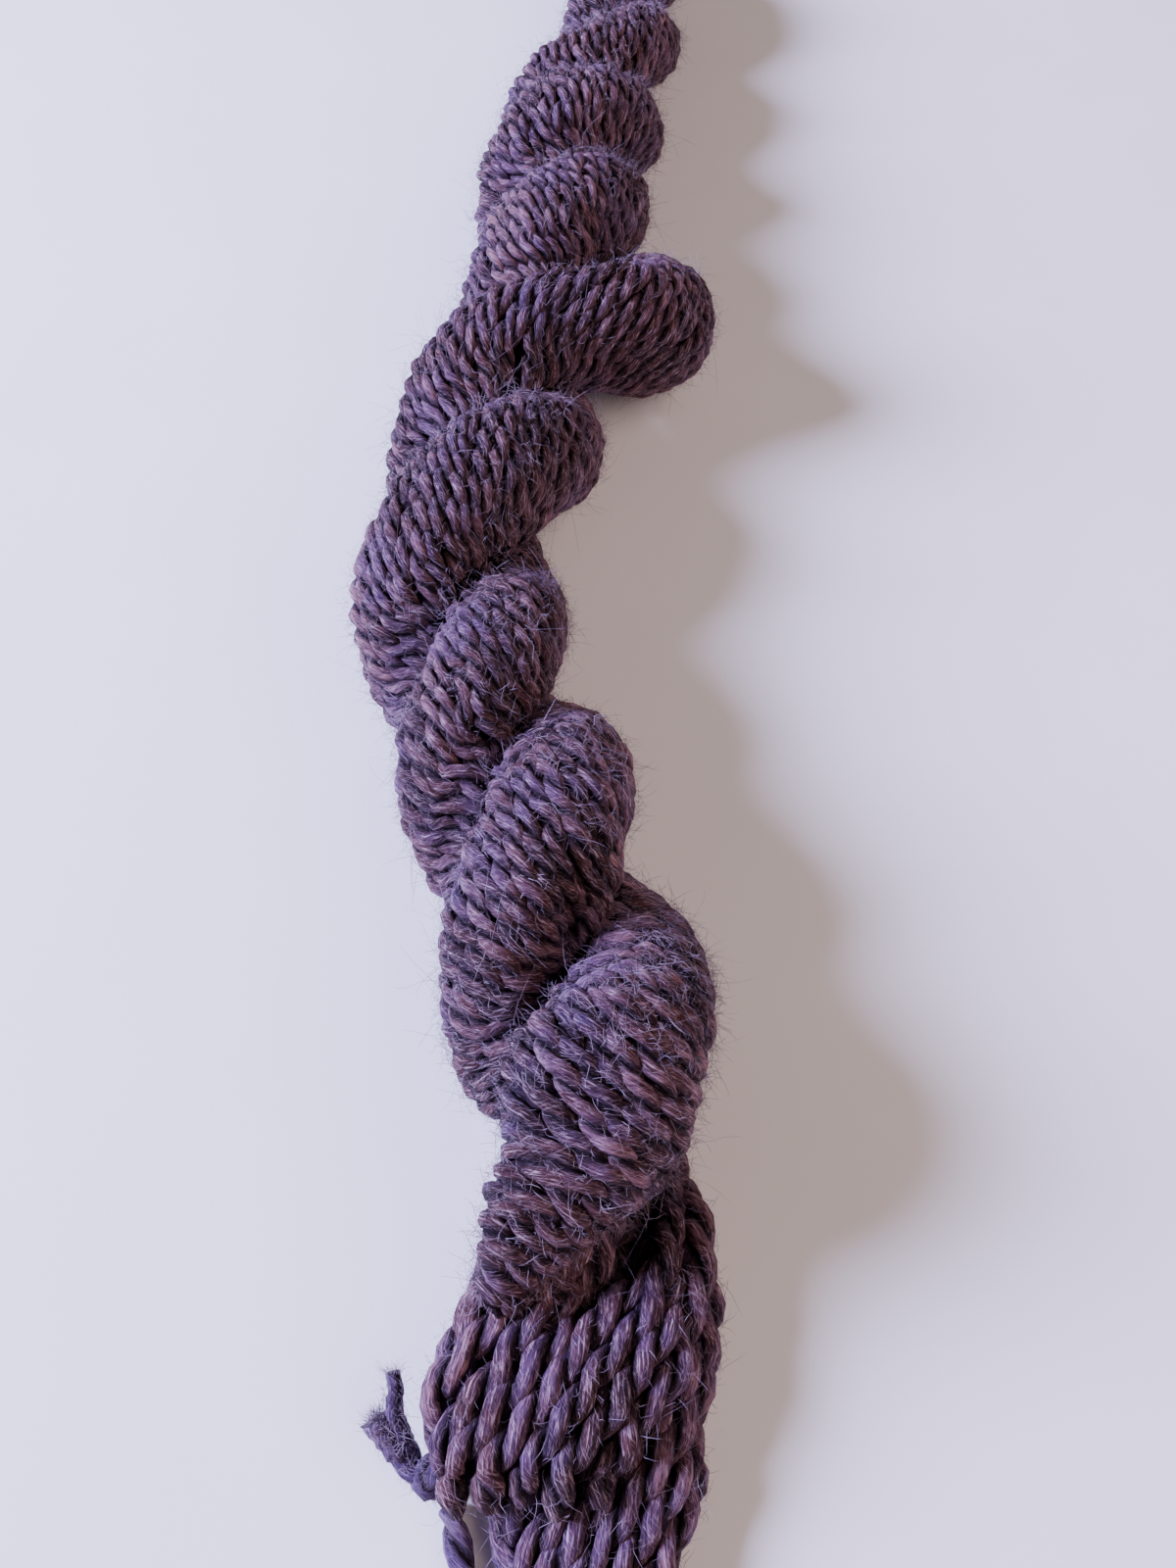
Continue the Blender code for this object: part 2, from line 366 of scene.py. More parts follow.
def dyed_wool(name, shades, violet, pale_fibre_and_glint, dark_fibre, shine):
    """Hand-dyed wool, with painted shade where the plies press together, silky where they bulge out.

    The map "ply" counts millimetres along a ply and sixths of the way round it, with 3
    on its outside. The shade follows three patterns added up: tufts 3 mm long, clouds of
    dye 19 mm across, and the yarn's own. Patches 10 mm across have taken more violet.
    Fibres run along the ply as pale and dark streaks, 1.5 mm long and 0.2 mm wide, and
    finer pale hairs, 2 mm long, cross them aslant. The pale streaks and hairs are partly
    fibre and partly painted glints of light. The real fibres are 0.03 mm thick, too
    fine to show, so they are drawn coarser.
    """
    material = bpy.data.materials.new(name)
    material.use_nodes = True
    tree = material.node_tree
    shader = tree.nodes["Principled BSDF"]
    along = node(tree, "ShaderNodeUVMap", {"uv_map": "ply"}).outputs[0]
    place = node(tree, "ShaderNodeTexCoord").outputs["Object"]

    tuft = node(tree, "ShaderNodeMapping", Vector=along, Scale=(0.35, 0.7, 1.0))
    lump = node(
        tree, "ShaderNodeTexNoise", Vector=tuft.outputs[0], Scale=1.0, Detail=3.0, Roughness=0.6
    ).outputs["Fac"]
    dye = node(tree, "ShaderNodeTexNoise", Vector=place, Scale=52.0, Detail=4.0, Roughness=0.65)
    own = node(tree, "ShaderNodeAttribute", {"attribute_name": "yarn_shade"})
    uneven = node(
        tree, "ShaderNodeMath", {"operation": "MULTIPLY_ADD"},
        _0=own.outputs["Fac"], _1=0.32, _2=dye.outputs["Fac"],
    )
    uneven = node(
        tree, "ShaderNodeMath", {"operation": "MULTIPLY_ADD"}, _0=lump, _1=0.9, _2=uneven.outputs[0]
    )
    spread = node(
        tree, "ShaderNodeMapRange", Value=uneven.outputs[0], From_Min=0.88, From_Max=1.34
    )
    colour = node(
        tree, "ShaderNodeValToRGB", stops=shades, Fac=spread.outputs[0]
    ).outputs["Color"]
    patch = node(
        tree, "ShaderNodeTexNoise", Vector=place, Scale=105.0, Detail=3.0, Roughness=0.6,
        Distortion=0.4,
    ).outputs["Fac"]
    colour = turned(tree, colour, violet, patch, 0.47, 0.64, 0.50)

    lie = node(
        tree, "ShaderNodeMapping", {"vector_type": "TEXTURE"}, Vector=along,
        Rotation=(0.0, 0.0, 0.3), Scale=(1.5, 0.22, 1.0),
    )
    fibre = node(
        tree, "ShaderNodeTexNoise", Vector=lie.outputs[0], Scale=1.0, Detail=6.0, Roughness=0.68,
        Distortion=0.5,
    ).outputs["Fac"]
    # Pale streaks: partly fibre texture, partly painted glints that stand in for highlights.
    colour = turned(tree, colour, pale_fibre_and_glint, fibre, 0.53, 0.68, 0.66)
    colour = turned(tree, colour, dark_fibre, fibre, 0.50, 0.38, 0.78)

    # Painted shade: the ply's colour goes nearly black towards its sides, where it presses against the
    # other ply.
    way_round = node(tree, "ShaderNodeSeparateXYZ", Vector=along).outputs["Y"]
    from_outside = node(
        tree, "ShaderNodeMath", {"operation": "SUBTRACT"}, _0=way_round, _1=3.0
    ).outputs[0]
    from_outside = node(
        tree, "ShaderNodeMath", {"operation": "ABSOLUTE"}, _0=from_outside
    ).outputs[0]
    colour = turned(tree, colour, "#0e0708", from_outside, 0.8, 1.9, 0.95)

    curl = node(
        tree, "ShaderNodeMapping", {"vector_type": "TEXTURE"}, Vector=along,
        Rotation=(0.0, 0.0, -0.8), Scale=(2.2, 0.14, 1.0),
    )
    hair = node(
        tree, "ShaderNodeTexNoise", Vector=curl.outputs[0], Scale=1.0, Detail=3.0, Roughness=0.6,
        Distortion=1.2,
    ).outputs["Fac"]
    # Pale hairs over the whole ply, across the painted shade too: partly fibres, partly painted glints.
    colour = turned(tree, colour, pale_fibre_and_glint, hair, 0.58, 0.68, 0.34)
    tree.links.new(colour, shader.inputs["Base Color"])

    high = node(tree, "ShaderNodeBump", Strength=0.9, Distance=0.8 * MM, Height=lump)
    fine = node(
        tree, "ShaderNodeBump", Strength=1.0, Distance=0.5 * MM, Height=fibre,
        Normal=high.outputs[0],
    )
    tree.links.new(fine.outputs[0], shader.inputs["Normal"])
    gloss = node(
        tree, "ShaderNodeMapRange", Value=fibre, From_Min=0.35, From_Max=0.70,
        To_Min=0.75, To_Max=0.36,
    )
    tree.links.new(gloss.outputs[0], shader.inputs["Roughness"])
    shader.inputs["IOR"].default_value = 1.54
    shader.inputs["Specular IOR Level"].default_value = shine
    shader.inputs["Specular Tint"].default_value = linear("#d8c4ec")
    shader.inputs["Sheen Weight"].default_value = 0.03
    shader.inputs["Sheen Roughness"].default_value = 0.4
    shader.inputs["Sheen Tint"].default_value = linear("#b48fd8")
    return material


def plain_wool(name, dark, light, roughness, shine):
    """Loose or hidden wool of one dye, mottled from dark to light over 4 mm."""
    material = bpy.data.materials.new(name)
    material.use_nodes = True
    tree = material.node_tree
    shader = tree.nodes["Principled BSDF"]
    place = node(tree, "ShaderNodeTexCoord").outputs["Object"]
    mottle = node(tree, "ShaderNodeTexNoise", Vector=place, Scale=260.0, Detail=3.0)
    shade = node(
        tree, "ShaderNodeValToRGB", stops=((0.35, dark), (0.65, light)), Fac=mottle.outputs["Fac"]
    )
    tree.links.new(shade.outputs["Color"], shader.inputs["Base Color"])
    shader.inputs["Roughness"].default_value = roughness
    shader.inputs["Specular IOR Level"].default_value = shine
    return material


# ---------------- the form of the hank
def curve_through(places, values, at):
    """The value at each spot AT of a smooth curve through the values at the places.

    Each stretch is a cubic whose slopes at its ends are those between neighbours.
    """
    slope = np.gradient(values, places)
    at = np.clip(at, places[0], places[-1])
    row = np.clip(np.searchsorted(places, at) - 1, 0, len(places) - 2)
    gap = places[row + 1] - places[row]
    part = (at - places[row]) / gap
    start = (1 + 2 * part) * (1 - part) ** 2 * values[row]
    start = start + part * (1 - part) ** 2 * gap * slope[row]
    end = part**2 * (3 - 2 * part) * values[row + 1]
    end = end - part**2 * (1 - part) * gap * slope[row + 1]
    return start + end


def smooth(rows, column, along):
    """A table's column at places along the hank, by a smooth curve through its rows."""
    return curve_through(rows["along"], rows[column], along)


def section(angle, size, inset):
    """A run cut across, INSET below its surface: round outside, pressed flat inside.

    Gives the distance out from the rope's axis and to the side, for the angle from
    straight out. Inside, one less the FLATNESSth power of what the cosine lacks of one
    takes the cosine's place.
    """
    out = np.cos(angle)
    flat = 1 - (1 - np.abs(out)) ** FLATNESS
    reach = np.where(out >= 0, (OUTWARD * size - inset) * out, -(INWARD * size - inset) * flat)
    return size * OFFSET + reach, (HALF_WIDE * size - inset) * np.sin(angle)


def rope_point(along, run, angle, inset):
    """Points on a run of the rope: its axis, plus out and to the side of the twist.

    One run lies looser and is pushed right about SLIP_ALONG. Its slip is the bell-like
    exponential of less the fourth power of the distance from there over SLIP_LENGTH.
    """
    size = smooth(ROPE, "size", along)
    lean = (smooth(ROPE, "side", along + 1) - smooth(ROPE, "side", along - 1)) / 2
    forward = np.stack((lean, np.ones_like(lean), np.zeros_like(lean)), -1)
    forward = forward / np.linalg.norm(forward, axis=-1, keepdims=True)
    right = np.stack((forward[..., 1], -forward[..., 0], forward[..., 2]), -1)
    turn = np.pi * (smooth(ROPE, "half_turns", along) + run)[..., None]
    outward = np.cos(turn) * right + np.sin(turn) * UP
    sideways = np.cos(turn) * UP - np.sin(turn) * right
    axis = np.stack((smooth(ROPE, "side", along), along, smooth(ROPE, "height", along)), -1)
    slip = run * np.exp(-(((along - SLIP_ALONG) / SLIP_LENGTH) ** 4))
    out, side = section(angle, size * (1 + SLIP_LOOSER * slip), inset)
    axis = axis + SLIP_OUT * slip[..., None] * right
    return axis + out[..., None] * outward + side[..., None] * sideways


def box_point(rows, along, bearing, inset):
    """Points on a rounded box, INSET below its surface, by their bearing from the right.

    The outline is a superellipse: the radius is the root of the sum of the SQUAREth
    powers of cosine and sine, turned over.
    """
    left, right, bottom, top = (smooth(rows, name, along) for name in ("left", "right", "bottom", "top"))
    across = np.cos(bearing)
    upward = np.sin(bearing)
    radius = (np.abs(across) ** SQUARE + np.abs(upward) ** SQUARE) ** (-1 / SQUARE)
    wide = np.maximum((right - left) / 2 - inset, 0.4)
    tall = np.maximum((top - bottom) / 2 - inset, 0.4)
    x = (left + right) / 2 + wide * radius * across
    z = (bottom + top) / 2 + tall * radius * upward
    return np.stack((x, along + 0 * x, z), -1)


def rope_share(along, run):
    """How far the open end's box has given way to the rope: none, part or all of it.

    The share is 3 times the square of the part gone through, less 2 times its cube.
    """
    part = np.clip((along - END_FROM[run]) / (END_TO[run] - END_FROM[run]), 0, 1)
    return part * part * (3 - 2 * part)


def run_point(along, run, angle, inset):
    """Points on a run: the rope, which near the open end gives way to the boxes."""
    along, angle, inset = np.broadcast_arrays(*np.atleast_1d(along, angle, inset))
    share = rope_share(along, run)[..., None]
    bearing = angle + np.pi * (smooth(ROPE, "half_turns", along) + run)
    box = box_point(HOOD if run == 1 else FAN, along, bearing, inset)
    return share * rope_point(along, run, angle, inset) + (1 - share) * box


def on_run(path):
    """The place along its run for a length along the folded bundle."""
    return np.minimum(np.where(path < FOLD + BEND / 2, path, 2 * FOLD + BEND - path), FOLD)


def fold_point(turn, angle, inset):
    """Points round the fold: run 1's section swung about the rope's axis by TURN."""
    size = smooth(ROPE, "size", FOLD)
    out, side = section(angle, size, inset)
    out = np.maximum(out, 0.6)
    axis = np.array([smooth(ROPE, "side", FOLD), FOLD, smooth(ROPE, "height", FOLD)])
    outward = np.stack((np.cos(turn), np.sin(turn), 0 * turn), -1)
    return axis + out[..., None] * outward + side[..., None] * UP


def bundle_point(path, angle, inset):
    """Points on the folded bundle, by the length PATH from the hood and round the fold."""
    path, angle, inset = np.broadcast_arrays(*np.atleast_1d(path, angle, inset))
    hood = run_point(np.minimum(path, FOLD), 1, angle, inset)
    bend = fold_point(np.pi * np.clip((path - FOLD) / BEND, 0, 1), angle, inset)
    fan = run_point(np.minimum(2 * FOLD + BEND - path, FOLD), 0, -angle, inset)
    points = np.where((path < FOLD)[..., None], hood, bend)
    points = np.where((path > FOLD + BEND)[..., None], fan, points)
    points[..., 2] = np.maximum(points[..., 2], inset)
    return points


# ---------------- laying the yarns
def unit(vectors):
    """Each vector divided by its length."""
    return vectors / np.maximum(np.linalg.norm(vectors, axis=-1, keepdims=True), 1e-9)


def box_change(rows, along):
    """Half a box's width there, and how fast its middle and its half width change."""
    left, right = smooth(rows, "left", along), smooth(rows, "right", along)
    more_left = smooth(rows, "left", along + 0.5) - smooth(rows, "left", along - 0.5)
    more_right = smooth(rows, "right", along + 0.5) - smooth(rows, "right", along - 0.5)
    return (right - left) / 2, (more_right + more_left) / 2, (more_right - more_left) / 2


def gained(path, angle):
    """How far along the bundle a yarn gets for each radian that it goes round it.

    On the rope, a yarn that stayed outside would be carried to the right by the twist.
    It leans left by the tangent of its lean, so it goes round by both of these over
    half the run's width. On the hood it goes round by its lean, and by the box's
    growing width, over the box's half width there, and by the twist of the bearings.
    """
    along = on_run(path)
    size = smooth(ROPE, "size", along)
    twist = smooth(ROPE, "half_turns", along - 1) - smooth(ROPE, "half_turns", along + 1)
    turning = np.pi * np.abs(twist) / 2
    leant = np.tan(np.radians(smooth(LEAN, "lean", along)))
    on_rope = (leant + (OFFSET + OUTWARD) * size * turning) / (HALF_WIDE * size)
    half, aside, wider = box_change(HOOD, path)
    bearing = angle + np.pi * (smooth(ROPE, "half_turns", path) + 1)
    leant = np.tan(np.radians(smooth(HOOD_LEAN, "lean", along)))
    leant = np.maximum(leant + aside + wider * np.cos(bearing), 0.5)
    on_hood = leant / (half * np.maximum(np.sin(bearing), 0.45)) + turning
    share = rope_share(path, 1)
    return 1 / (share * on_rope + (1 - share) * on_hood)


def wander(count, length, amount):
    """A slow random wave along one yarn: two sines of random length and start."""
    at = np.linspace(0, length, count)
    waves = rng.uniform(9, 30, 2)
    starts = rng.uniform(0, 2 * np.pi, 2)
    sizes = rng.normal(0, amount, 2)
    return sizes[0] * np.sin(at * 2 * np.pi / waves[0] + starts[0]) + sizes[1] * np.sin(
        at * 2 * np.pi / waves[1] + starts[1]
    )


def yarn_middles(start, end):
    """The places along the bundle's outside where its yarns cross, SPACING apart."""
    path = np.arange(start, end, 0.25)
    level = np.zeros_like(path)
    ahead = bundle_point(path + 0.5, level, level) - bundle_point(path - 0.5, level, level)
    around = bundle_point(path, level + 0.05, level) - bundle_point(path, level - 0.05, level)
    yarnwise = unit(ahead * gained(path, level)[:, None] + around * 10)
    apart = SPACING * np.interp(on_run(path), PRESSED["along"], PRESSED["size"])
    apart = apart * np.interp(path, CLOSER["along"], CLOSER["share"])
    crossing = np.linalg.norm(np.cross(ahead, yarnwise), axis=1) / apart
    number = np.cumsum(crossing) * 0.25
    return np.interp(np.arange(0.5, number[-1]), number, path)


def wrapping_yarns(middles, round_to=HIDDEN, below=0.0):
    """The yarns that wrap the bundle, each followed both ways from its outside.

    At each step round, a yarn's place grows by the step times what it has gained there.
    Where the hood ends it dips by TUCK times a bell curve. BELOW is how far under the top
    layer the yarns lie.
    """
    turns = np.linspace(0, np.radians(round_to), 52)
    ways = []
    for sign in (-1, 1):
        places = middles
        steps = []
        for turn in turns:
            steps.append(places)
            places = places + sign * turns[1] * gained(places, sign * turn)
        ways.append(np.array(steps))
    places = np.concatenate((ways[0][:0:-1], ways[1])).T
    angles = np.concatenate((-turns[:0:-1], turns))
    yarns = []
    for line in places:
        inside = line > HOOD_NOSE
        if inside.sum() < 14:
            continue
        count = inside.sum()
        path = line[inside]
        angle = angles[inside] + wander(count, 40, SWAY)
        inset = below + YARN / 2 - np.abs(rng.normal(0, RISE)) + wander(count, 40, WAVE)
        inset = inset + TUCK * np.exp(-(((path - HOOD_NOSE) / TUCK_LENGTH) ** 2))
        points = bundle_point(path, angle, inset)
        away = points - bundle_point(path, angle, inset + 2.0)
        size = np.interp(on_run(path[count // 2]), PRESSED["along"], PRESSED["size"])
        yarns.append((sunk(points, GROOVE), away, size))
    return yarns


def group_yarns(rows, leans, reach, nose, back, edges=(), below=0.0):
    """The yarns of one group of loops, leaning right going up by the lean for the place.

    Each is followed along the group's rounded box from its end or from its left side, as
    far as REACH. One that gets to the end goes round half an ellipse there, NOSE deep,
    from the box's top to its underside, and then BACK under it. EDGES are bearings of
    yarns that run straight along the box's side.
    """
    tip = rows["along"][0] + 0.3

    def bearing_rate(along, bearing):
        """How fast the bearing turns: the lean past the box's own, over its half width."""
        half, aside, wider = box_change(rows, along)
        across = np.tan(np.radians(smooth(leans, "lean", along))) - aside
        steep = np.maximum(np.abs(np.sin(bearing)), 0.45)
        return -(across - wider * np.cos(bearing)) / (half * steep)

    def followed(along, bearing, step):
        """The yarn's places and bearings from there on, step by step, while on the box."""
        line = []
        while tip <= along <= reach and -0.9 < bearing < np.pi + 0.9:
            line.append((along, bearing))
            bearing = bearing + step * bearing_rate(along, bearing)
            along = along + step
        return line

    seeds = [(tip, np.pi - bearing) for bearing in end_bearings(rows, leans, tip)]
    along = tip + 1.0
    while along < reach - 12:
        seeds.append((along, np.pi))
        leant = np.radians(max(float(smooth(leans, "lean", along)), 17.0))
        along = along + GROUP_SPACING / np.sin(leant)
    yarns = []
    for along, bearing in seeds:
        up = followed(along, bearing, 0.6)[::-1]
        down = followed(along, bearing, -0.6)[1:]
        line = np.array(up + down)
        yarns.append(looped(rows, line, tip, nose, back, below))
    for bearing in edges:
        places = np.arange(reach - 8, tip, -0.6)
        line = np.column_stack((places, 0 * places + bearing))
        yarns.append(looped(rows, line, tip, nose, back, below))
    return yarns


def end_bearings(rows, leans, tip):
    """Bearings from the left, so spaced that the yarns lie side by side over a group's end.

    They are read off the length of the box's outline, at even steps of about the spacing
    over the cosine of the lean.
    """
    bearing = np.linspace(0.5, np.pi - 0.12, 200)
    line = box_point(rows, np.full(200, tip), bearing, np.full(200, YARN / 2))
    length = np.concatenate(([0], np.cumsum(np.linalg.norm(np.diff(line, axis=0), axis=1))))
    apart = GROUP_SPACING / np.cos(np.radians(smooth(leans, "lean", tip)))
    count = int(length[-1] / apart) + 1
    return np.interp(np.linspace(0, length[-1], count), length, bearing)


def sunk(points, rows, deeper=0.0):
    """Points lowered along a dark channel by its depth times the bell curve across it.

    DEEPER is added to that depth. In the rope's groove only points above 8 mm are
    lowered, by a share that grows to all of it at 14 mm.
    """
    side, wide, depth = (
        np.interp(points[:, 1], rows["along"], rows[name]) for name in ("side", "wide", "depth")
    )
    across = (points[:, 0] - side) / wide
    share = np.clip((points[:, 2] - 8.0) / 6.0, 0, 1) if rows is GROOVE else 1.0
    points[:, 2] -= share * (depth + deeper * (depth > 0)) * np.exp(-(across**2))
    return points


def looped(rows, line, tip, nose, back, below):
    """A yarn's points from its places and bearings, with its loop where it gets to the end.

    The loop is the middle of its two ends, plus the cosine of the turn towards the upper
    one, and less the sine of the turn times its length along the hank.
    """
    along, bearing = line.T
    count = len(along)
    inset = below + YARN / 2 - np.abs(rng.normal(0, GROUP_RISE)) + wander(count, 40, WAVE)
    bearing = bearing + wander(count, 40, GROUP_SWAY)
    points = box_point(rows, along, bearing, inset)
    away = points - box_point(rows, along, bearing, inset + 2.0)
    if along[-1] < tip + 0.7 and 0 < bearing[-1] < np.pi:
        low = points[-1].copy()
        low[2] = smooth(rows, "top", tip) + smooth(rows, "bottom", tip) - low[2]
        middle = (points[-1] + low) / 2
        longer = nose + rng.uniform(-0.9, 0.9)
        turn = np.linspace(0, np.pi, 15)[1:, None]
        bend = middle + (points[-1] - middle) * np.cos(turn)
        bend[:, 1] -= longer * np.sin(turn[:, 0])
        under = low - np.outer(np.linspace(0, back, 12)[1:], (0.3, -1.0, 0.0))
        core = np.concatenate((np.tile(middle, (14, 1)), under + UP))
        bend = np.concatenate((bend, under))
        points = np.concatenate((points, bend))
        away = np.concatenate((away, bend - core))
    points = sunk(points, HOOD_GAP)
    if rows is FAN:
        points = sunk(points, CHANNEL)
    points[:, 2] = np.maximum(points[:, 2], YARN / 2)
    return points, away, LOOSE


# ---------------- meshes
def place_mesh(name, points, faces, material, uv=None, shades=None):
    """A mesh piece in the frame, in metres, smooth, riding on the root.

    Points are moved so that MIDDLE is zero, and none lies below the table top.
    """
    mesh = bpy.data.meshes.new(name)
    points = (np.maximum(points, (-np.inf, -np.inf, 0.0)) - MIDDLE) * MM
    mesh.vertices.add(len(points))
    mesh.vertices.foreach_set("co", points.ravel())
    corners = np.concatenate([block.ravel() for block in faces])
    sizes = np.concatenate([np.full(len(block), block.shape[1]) for block in faces])
    mesh.loops.add(len(corners))
    mesh.loops.foreach_set("vertex_index", corners.astype(np.int32))
    mesh.polygons.add(len(sizes))
    starts = np.concatenate(([0], np.cumsum(sizes)[:-1]))
    mesh.polygons.foreach_set("loop_start", starts.astype(np.int32))
    mesh.update(calc_edges=True)
    if uv is not None:
        layer = mesh.uv_layers.new(name="ply")
        layer.data.foreach_set("uv", uv.ravel())
    if shades is not None:
        made = mesh.attributes.new("yarn_shade", "FLOAT", "POINT")
        made.data.foreach_set("value", shades)
    mesh.validate()
    mesh.shade_smooth()
    mesh.materials.append(material)
    piece = bpy.data.objects.new(name, mesh)
    bpy.context.scene.collection.objects.link(piece)
    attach(piece, "root")
    return piece


def evenly(line, away, step):
    """The line and its outward side again, at even steps of its length."""
    length = np.concatenate(([0], np.cumsum(np.linalg.norm(np.diff(line, axis=0), axis=1))))
    at = np.linspace(0, length[-1], max(int(length[-1] / step), 4) + 1)
    again = [np.interp(at, length, column) for column in (*line.T, *away.T)]
    return np.array(again[:3]).T, np.array(again[3:]).T, at


def ply_rings(line, away, at, turn, phase, thick, sides):
    """Rings of points round one ply that winds round the yarn's line, to the left.

    Its middle stays PLY_AWAY from the line, at an angle that falls by one turn in each
    TURN of length. Each ring is an ellipse square to the ply, its first point on the
    side next to the other ply.
    """
    forward = unit(np.gradient(line, axis=0))
    out = unit(away - (away * forward).sum(1, keepdims=True) * forward)
    beside = np.cross(forward, out)
    angle = phase - at * 2 * np.pi / turn
    cosine, sine = np.cos(angle)[:, None], np.sin(angle)[:, None]
    from_line = cosine * out + sine * beside
    round_line = cosine * beside - sine * out
    ply = unit(forward - PLY_AWAY * thick[:, None] * 2 * np.pi / turn * round_line)
    across = np.cross(ply, from_line)
    spot = np.pi + np.arange(sides) * 2 * np.pi / sides
    middle = line + PLY_AWAY * thick[:, None] * from_line
    lumpy = thick[:, None] * (1 + rng.normal(0, 0.065, (len(line), sides)))
    deep = (PLY_DEEP * lumpy * np.cos(spot))[..., None] * from_line[:, None]
    wide = (PLY_WIDE * lumpy * np.sin(spot))[..., None] * across[:, None]
    return middle[:, None] + deep + wide


def two_plies(yarn, twist=PLY_TURN, ring=RING, sides=SIDES):
    """A yarn's two plies, each as its rings of points, their places along it and its shade."""
    line, away, at = evenly(*yarn[:2], ring)
    phase, shade, shift = rng.uniform(0, (2 * np.pi, 1, 400))
    size = yarn[2] + rng.normal(0, 0.03)
    turn = twist * size * (1 + rng.normal(0, 0.06))
    plies = []
    for ply in (0, 1):
        thick = size + wander(len(at), at[-1], 0.04)
        rings = ply_rings(line, away, at, turn, phase + ply * np.pi, thick, sides)
        plies.append((rings, at + shift + 57 * ply, shade))
    return plies


def one_ply(yarn, thick, ring=0.5, sides=9):
    """A ply on its own: circles square to its line, THICK across at its start and end.

    Each radius is changed by a random tenth.
    """
    line, away, at = evenly(*yarn[:2], ring)
    forward = unit(np.gradient(line, axis=0))
    side = unit(np.cross(forward, away))
    over = np.cross(side, forward)
    spot = np.arange(sides) * 2 * np.pi / sides
    radius = np.interp(at, (0, at[-1]), thick)[:, None] / 2
    radius = radius * (1 + rng.normal(0, 0.10, (len(at), sides)))
    rings = (radius * np.cos(spot))[..., None] * side[:, None]
    rings = line[:, None] + rings - (radius * np.sin(spot))[..., None] * over[:, None]
    return rings, at, rng.uniform()


def joined(name, tubes, material):
    """The tubes as one mesh, with the length and the way round as its UV map, in mm."""
    points, quads, caps, tube_maps, cap_maps, shades = [], [], [], [], [], []
    base = 0
    for rings, at, shade in tubes:
        sides = rings.shape[1]
        tube, tube_quads, tube_caps = closed_tube(rings)
        row, spot = np.divmod(np.arange(len(tube_quads)), sides)
        way = spot * 6.0 / sides, (spot + 1) * 6.0 / sides
        corners = (at[row], way[0], at[row], way[1], at[row + 1], way[1], at[row + 1], way[0])
        points.append(tube)
        quads.append(base + tube_quads)
        caps.append(base + tube_caps)
        tube_maps.append(np.stack(corners, -1).reshape(-1, 2))
        cap_maps.append(np.tile((at[0], 0.0), (tube_caps.size, 1)))
        shades.append(np.full(len(tube), shade))
        base += len(tube)
    return place_mesh(
        name, np.concatenate(points), (np.concatenate(quads), np.concatenate(caps)), material,
        np.concatenate(tube_maps + cap_maps), np.concatenate(shades),
    )


def plied(name, yarns, material, twist=PLY_TURN, ring=RING, sides=SIDES):
    """Every yarn as two plies, in one mesh."""
    tubes = [ply for yarn in yarns for ply in two_plies(yarn, twist, ring, sides)]
    return joined(name, tubes, material)


def closed_tube(rings):
    """The points of a tube through rings, its quads and its two end caps.

    Quads join each ring to the next, and triangles join the first and last to their means.
    """
    count, sides, _ = rings.shape
    ring, spot = np.meshgrid(np.arange(count - 1), np.arange(sides), indexing="ij")
    beside = (spot + 1) % sides
    quads = np.stack(
        (ring * sides + spot, ring * sides + beside,
         (ring + 1) * sides + beside, (ring + 1) * sides + spot), -1,
    ).reshape(-1, 4)
    spot = np.arange(sides)
    beside = (spot + 1) % sides
    last = (count - 1) * sides
    start = np.column_stack((beside, spot, np.full(sides, count * sides)))
    end = np.column_stack((last + spot, last + beside, np.full(sides, count * sides + 1)))
    points = np.concatenate((rings.reshape(-1, 3), rings[[0, -1]].mean(axis=1)))
    return points, quads, np.concatenate((start, end))


def hidden_core(name, rings, material):
    """The yarn that hides inside a bundle, as one dark body through rings of points.

    Its faces are turned round where its volume, by their determinants, is negative.
    """
    rings = np.array(rings)
    points, quads, caps = closed_tube(rings)
    corners = points[quads[:, :3]]
    if np.linalg.det(corners - points.mean(axis=0)).sum() < 0:
        quads, caps = quads[:, ::-1], caps[:, ::-1]
    return place_mesh(name, points, (quads, caps), material)


def stray_fibres(name, yarns, count, shortest, mean, stand, stations, material):
    """Fine fibres that leave the yarns' surface and curl over beside it.

    Each starts inside a yarn and goes along it, out from it by about STAND and aside by
    random shares. It is SHORTEST plus a random length of about MEAN, at most 2.2 times
    that, bends by the square of its length and waves a little.
    """
    sizes = np.array([len(yarn[0]) for yarn in yarns])
    starts = np.concatenate(([0], np.cumsum(sizes)[:-1]))
    lines = np.concatenate([yarn[0] for yarn in yarns])
    outs = unit(np.concatenate([yarn[1] for yarn in yarns]))
    which = rng.choice(len(yarns), count, p=sizes / sizes.sum())
    spot = starts[which] + 1 + (rng.uniform(0.1, 0.88, count) * (sizes[which] - 2)).astype(int)
    root, out = lines[spot], outs[spot]
    ahead = unit(lines[spot + 1] - lines[spot - 1]) * rng.choice((-1, 1), count)[:, None]
    aside = np.cross(ahead, out)
    turn = rng.uniform(-1.1, 1.1, (count, 1))
    out, aside = np.cos(turn) * out + np.sin(turn) * aside, np.cos(turn) * aside - np.sin(turn) * out
    length = shortest + np.minimum(rng.gamma(3.0, mean / 3, count), 2.2 * mean)
    go = unit(
        ahead * rng.uniform(0.3, 1.2, (count, 1))
        + out * rng.gamma(2.0, stand / 2, (count, 1))
        + aside * rng.normal(0, 0.55, (count, 1))
    )
    bend = (out * rng.normal(-0.3, 0.3, (count, 1)) + aside * rng.normal(0, 0.6, (count, 1))
            + ahead * rng.normal(0, 0.4, (count, 1)))
    return fibres(name, root + out * 1.4, go, bend, length, out, aside, stations, material)


